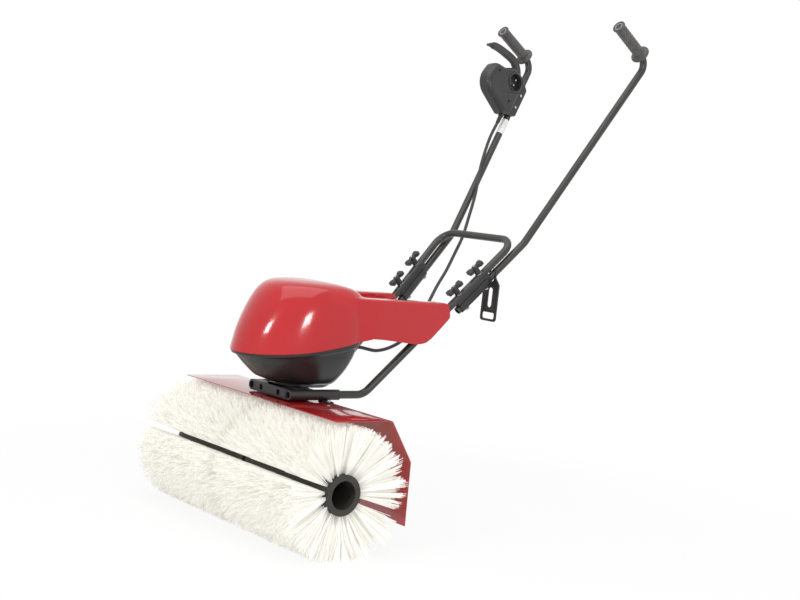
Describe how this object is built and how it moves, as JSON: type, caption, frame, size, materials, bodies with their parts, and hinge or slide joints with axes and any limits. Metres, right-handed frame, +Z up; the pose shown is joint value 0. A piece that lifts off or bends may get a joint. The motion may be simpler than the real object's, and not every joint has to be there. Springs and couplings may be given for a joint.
{
  "type": "power brush sweeper",
  "caption": "Walk-behind sweeper: motor head over a wide nylon rotary brush with sheet guard, worm drive, tube handle with lever switch and cord hook",
  "frame": {"origin": "on the floor, at the middle of the bounding box's bottom face", "axes": "+X to the operator's left along the brush, +Y to the rear towards the grips, +Z up"},
  "size_m": [0.6412, 1.0666, 1.3023],
  "materials": {
    "red_cover": "gloss red plastic",
    "red_paint": "gloss red powder coat",
    "black_plastic": "satin black moulded plastic",
    "black_paint": "satin black paint",
    "grip_rubber": "matte black rubber",
    "hub_grey": "dark grey plastic",
    "bristle_ivory": "ivory nylon bristles",
    "zinc": "bright zinc plate",
    "steel": "machined steel",
    "bronze": "bronze",
    "copper": "copper"
  },
  "bodies": {
    "chassis": {"motor_cover": "red_cover", "motor_bowl": "black_plastic", "cover_screws": "zinc", "motor_frame": "steel", "field_stator": "steel", "field_coils": "copper", "bearing_plates": "black_plastic", "motor_bearings": "steel", "carbon_brushes": "black_plastic", "gear_column": "black_plastic", "column_screws": "zinc", "gear_case_left": "black_paint", "gear_case_right": "black_paint", "gear_case_bolts": "zinc", "axle_bushes": "bronze", "axle_seals": "grip_rubber", "handle_bracket": "black_paint", "bracket_bolts": "zinc", "guard": "red_paint", "guard_bolts": "zinc", "lower_handle": "black_paint", "upper_handle_left": "black_paint", "upper_handle_right": "black_paint", "clamp_saddles": "black_plastic", "clamp_bolts": "zinc", "clamp_washers": "zinc", "grip_left": "grip_rubber", "grip_right": "grip_rubber", "switch_box_inner": "black_plastic", "switch_box_outer": "black_plastic", "switch_box_screws": "zinc", "power_inlet": "black_plastic", "inlet_pins": "zinc", "micro_switch": "black_plastic", "lever_pin": "steel", "lever_spring": "steel", "motor_cable": "grip_rubber", "cable_glands": "grip_rubber"},
    "brush": {"axle": "steel", "wheel_key": "steel", "worm_wheel": "bronze", "drive_hubs": "steel", "hub_upper": "hub_grey", "hub_lower": "hub_grey", "hub_screws": "zinc", "hitch_pins": "zinc", "bristles_left": "bristle_ivory", "bristles_right": "bristle_ivory"},
    "rotor": {"motor_shaft": "steel", "worm": "steel", "rotor_core": "steel", "commutator": "copper", "cooling_fan": "black_plastic"},
    "switch_lever_body": {"switch_lever": "black_plastic"},
    "knob_left_lower_turn": {"knob_left_lower": "black_plastic"},
    "knob_left_upper_turn": {"knob_left_upper": "black_plastic"},
    "knob_right_lower_turn": {"knob_right_lower": "black_plastic"},
    "knob_right_upper_turn": {"knob_right_upper": "black_plastic"},
    "cord_hook_body": {"cord_hook": "black_plastic"}
  },
  "joints": [
    {"name": "brush_spin", "type": "hinge", "parent": "chassis", "child": "brush", "pos_m": [0, -0.39335, 0.13913], "axis": [1, 0, 0], "continuous": true},
    {"name": "rotor_spin", "type": "hinge", "parent": "chassis", "child": "rotor", "pos_m": [0, -0.34835, 0.43913], "axis": [0, 0, 1], "continuous": true},
    {"name": "lever_squeeze", "type": "hinge", "parent": "chassis", "child": "switch_lever_body", "pos_m": [-0.20172, 0.47686, 1.15487], "axis": [-0.9917, -0.066, -0.1102], "range_deg": [0, 9], "stiffness_Nm_per_rad": 0.6, "springref_deg": -5.73},
    {"name": "knob_left_lower_spin", "type": "hinge", "parent": "chassis", "child": "knob_left_lower_turn", "pos_m": [0.11242, 0.04726, 0.58212], "axis": [0, -0.7187, 0.6954], "continuous": true},
    {"name": "knob_left_upper_spin", "type": "hinge", "parent": "chassis", "child": "knob_left_upper_turn", "pos_m": [0.12054, 0.09981, 0.63643], "axis": [0, -0.7187, 0.6954], "continuous": true},
    {"name": "knob_right_lower_spin", "type": "hinge", "parent": "chassis", "child": "knob_right_lower_turn", "pos_m": [-0.11242, 0.04726, 0.58212], "axis": [0, -0.7187, 0.6954], "continuous": true},
    {"name": "knob_right_upper_spin", "type": "hinge", "parent": "chassis", "child": "knob_right_upper_turn", "pos_m": [-0.12054, 0.09981, 0.63643], "axis": [0, -0.7187, 0.6954], "continuous": true},
    {"name": "hook_swing", "type": "hinge", "parent": "chassis", "child": "cord_hook_body", "pos_m": [0.12397, 0.15391, 0.62835], "axis": [0.1069, 0.6914, 0.7145], "range_deg": [-25, 25]}
  ],
  "couplings": [
    {"joint": "rotor_spin", "follows": "brush_spin", "ratio": -24}
  ]
}
